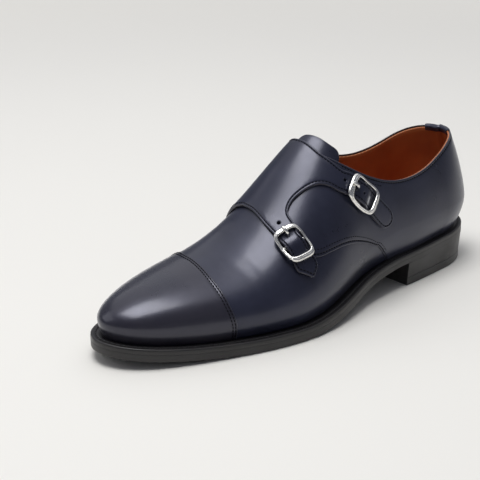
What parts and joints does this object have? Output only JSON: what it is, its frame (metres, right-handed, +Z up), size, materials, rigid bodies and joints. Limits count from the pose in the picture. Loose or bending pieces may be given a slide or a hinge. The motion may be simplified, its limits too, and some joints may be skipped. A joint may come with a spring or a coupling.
{
  "type": "double monk strap shoe",
  "caption": "Left dress shoe with a cap toe, a flap over the instep and buckled side straps, on a welted leather sole with a low heel.",
  "frame": {"origin": "bottom centre of the bounding box, on the floor plane", "axes": "+Z up, toe toward -Y, heel toward +Y, +X toward the lateral side with the buckles"},
  "size_m": [0.1032, 0.3112, 0.1106],
  "materials": {
    "upper_leather": "polished calf, midnight navy",
    "strap_leather": "polished calf, midnight navy",
    "lining_leather": "smooth cognac lining",
    "sole_leather": "black dyed leather, satin edge",
    "welt_leather": "black dyed leather, satin",
    "heel_leather": "black stacked leather, satin",
    "top_piece_rubber": "matte black",
    "buckle_metal": "polished nickel plate"
  },
  "bodies": {
    "root": {"heel_top_piece": "top_piece_rubber", "heel_stack": "heel_leather", "outsole": "sole_leather", "welt": "welt_leather", "insole": "lining_leather", "upper": "upper_leather", "tongue": "upper_leather", "strap_flap": "strap_leather", "buckle_frame_upper": "buckle_metal", "buckle_frame_lower": "buckle_metal", "buckle_prong_upper": "buckle_metal", "buckle_prong_lower": "buckle_metal"}
  },
  "joints": []
}
